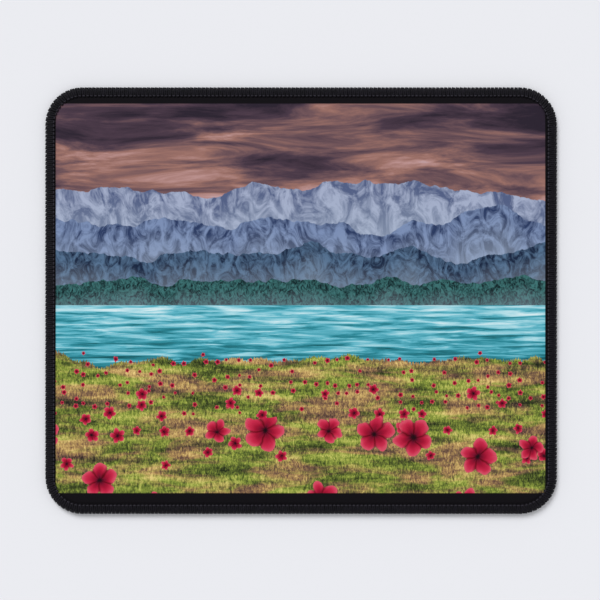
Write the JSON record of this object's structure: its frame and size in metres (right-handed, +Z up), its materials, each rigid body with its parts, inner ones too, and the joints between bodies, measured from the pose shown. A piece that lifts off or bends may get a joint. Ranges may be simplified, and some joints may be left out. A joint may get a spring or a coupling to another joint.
{
  "type": "mouse pad",
  "caption": "Flat rectangular mouse pad with rounded corners: a printed knit face on a grooved foam rubber base, its edge bound by an overlock seam.",
  "frame": {"origin": "centre of the underside, on the table plane", "axes": "+X along the width of the pad, +Y towards its far edge (the top of the print), +Z up out of the mousing face"},
  "size_m": [0.235, 0.196, 0.0041],
  "materials": {
    "foam_rubber": "matt open-cell natural rubber with moulded grip grooves",
    "glue_film": "thin hot-melt film, hidden between cloth and rubber",
    "printed_knit": "fine knit polyester, dye-printed edge to edge, matt",
    "needle_thread": "spun polyester sewing thread, black",
    "looper_thread": "bulked textured yarn, near black, slightly fuzzy"
  },
  "bodies": {
    "root": {"rubber_base": "foam_rubber", "glue_film": "glue_film", "printed_cloth": "printed_knit", "needle_thread": "needle_thread", "upper_looper_thread": "looper_thread", "lower_looper_thread": "looper_thread"}
  },
  "joints": []
}
